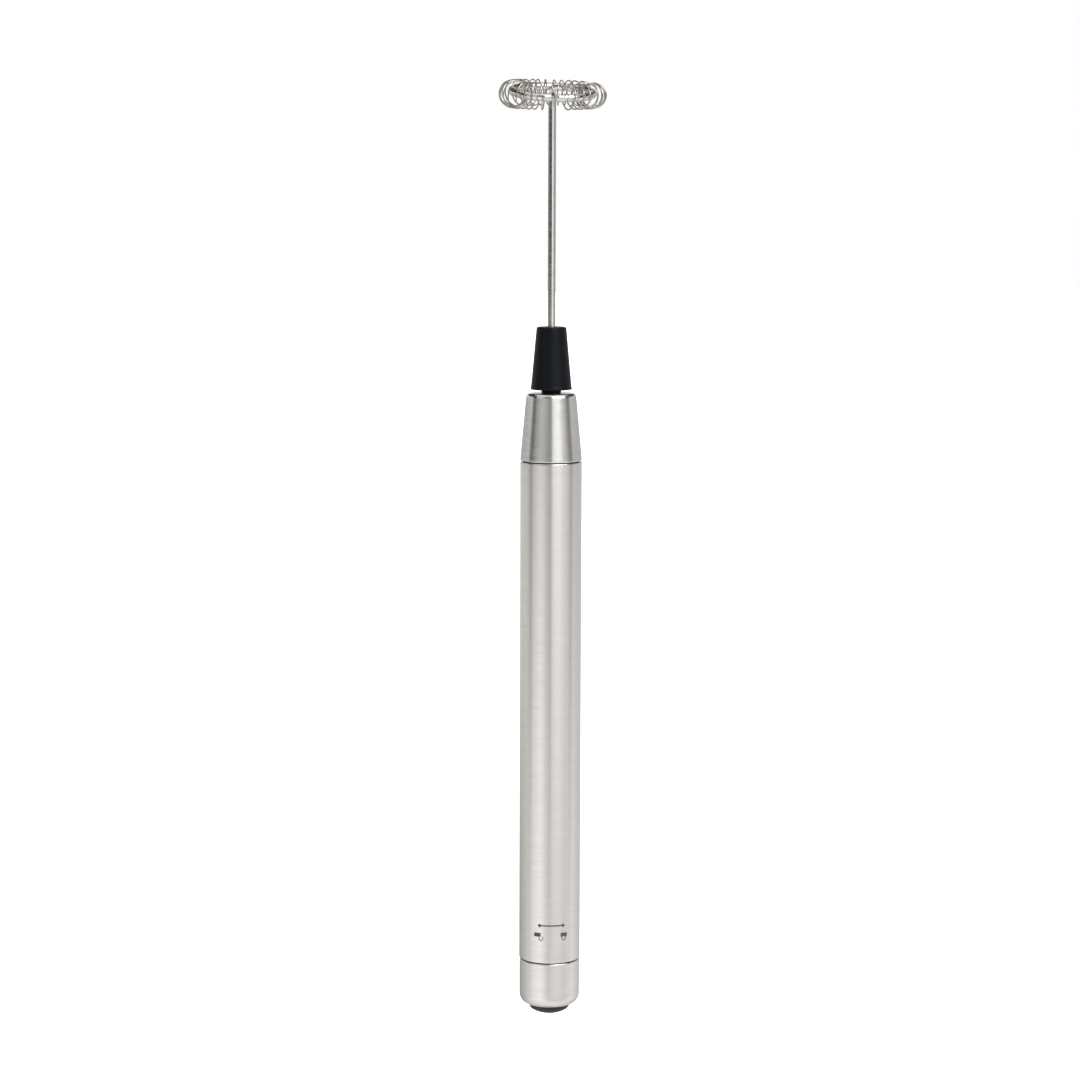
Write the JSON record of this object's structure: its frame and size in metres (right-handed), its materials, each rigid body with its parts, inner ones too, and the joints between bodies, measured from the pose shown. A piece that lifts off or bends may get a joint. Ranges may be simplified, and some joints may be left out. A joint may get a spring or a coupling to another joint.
{
  "type": "milk frother",
  "caption": "Slim battery milk frother: a spring whisk on a bent wire, a tapered black hub and a straight steel handle with a screw cap and a push button in its end.",
  "frame": {"origin": "on the handle's axis at the middle of the grip, 71 mm above the lowest point of the power button", "axes": "+Z along the axis towards the whisk, -Y towards the side that carries the turning arrow, +X to the right of a viewer who faces that side"},
  "size_m": [0.0241, 0.0237, 0.2138],
  "materials": {
    "satin_steel": "fine satin brushing round the axis",
    "bright_steel": "bright drawn wire and plated spring steel",
    "pressed_steel": "plain pressed and laminated steel",
    "brass": "plain turned and pressed brass",
    "copper": "enamelled copper wire and bars",
    "black_plastic": "matte moulded black",
    "button_plastic": "semi-gloss moulded black",
    "white_plastic": "natural moulded nylon",
    "rubber": "soft black seal",
    "ferrite": "dark sintered ferrite",
    "cell_case": "plain coloured cell sleeve, no lettering",
    "red_insulation": "red lead insulation",
    "black_insulation": "black lead insulation"
  },
  "bodies": {
    "handle": {"body_tube": "satin_steel", "nose_cone": "satin_steel", "nose_bush": "black_plastic", "tube_insert": "brass", "battery_sleeve": "white_plastic", "battery_1": "cell_case", "battery_2": "cell_case", "positive_contact": "brass", "contact_carrier": "white_plastic", "tube_contact": "brass", "positive_lead": "red_insulation", "negative_lead": "black_insulation", "motor_cradle": "black_plastic", "motor_can": "pressed_steel", "motor_end_bell": "white_plastic", "front_bearing": "brass", "rear_bearing": "brass", "motor_magnet_1": "ferrite", "motor_magnet_2": "ferrite", "motor_brush_1": "copper", "motor_brush_2": "copper", "motor_terminal_1": "brass", "motor_terminal_2": "brass", "motor_screw_1": "bright_steel", "motor_screw_2": "bright_steel"},
    "whisk": {"whisk_hub": "black_plastic", "whisk_wire": "bright_steel", "whisk_coil": "bright_steel", "motor_shaft": "bright_steel", "armature_core": "pressed_steel", "armature_winding_1": "copper", "armature_winding_2": "copper", "armature_winding_3": "copper", "commutator": "copper"},
    "cap_carriage": {"contact_plate": "bright_steel", "battery_spring": "bright_steel", "cap_o_ring": "rubber"},
    "cap": {"end_cap": "satin_steel", "cap_core": "black_plastic", "ground_washer": "bright_steel", "button_spring": "bright_steel"},
    "button": {"power_button": "button_plastic", "contact_pin": "brass"}
  },
  "joints": [
    {"name": "whisk_spin", "type": "hinge", "parent": "handle", "child": "whisk", "pos_m": [0, 0, 0.0734], "axis": [0, 0, 1], "continuous": true},
    {"name": "cap_travel", "type": "slide", "parent": "handle", "child": "cap_carriage", "axis": [0, 0, -1], "range_m": [0, 0.0073]},
    {"name": "cap_unscrew", "type": "hinge", "parent": "cap_carriage", "child": "cap", "pos_m": [0, 0, -0.05775], "axis": [0, 0, -1], "range_deg": [0, 2160]},
    {"name": "button_press", "type": "slide", "parent": "cap", "child": "button", "axis": [0, 0, 1], "range_m": [0, 0.0016], "stiffness_N_per_m": 1200, "springref_m": -0.001, "deforming": ["button_spring"]}
  ],
  "couplings": [
    {"joint": "cap_travel", "follows": "cap_unscrew", "m_per_rad": 0.00019099}
  ]
}
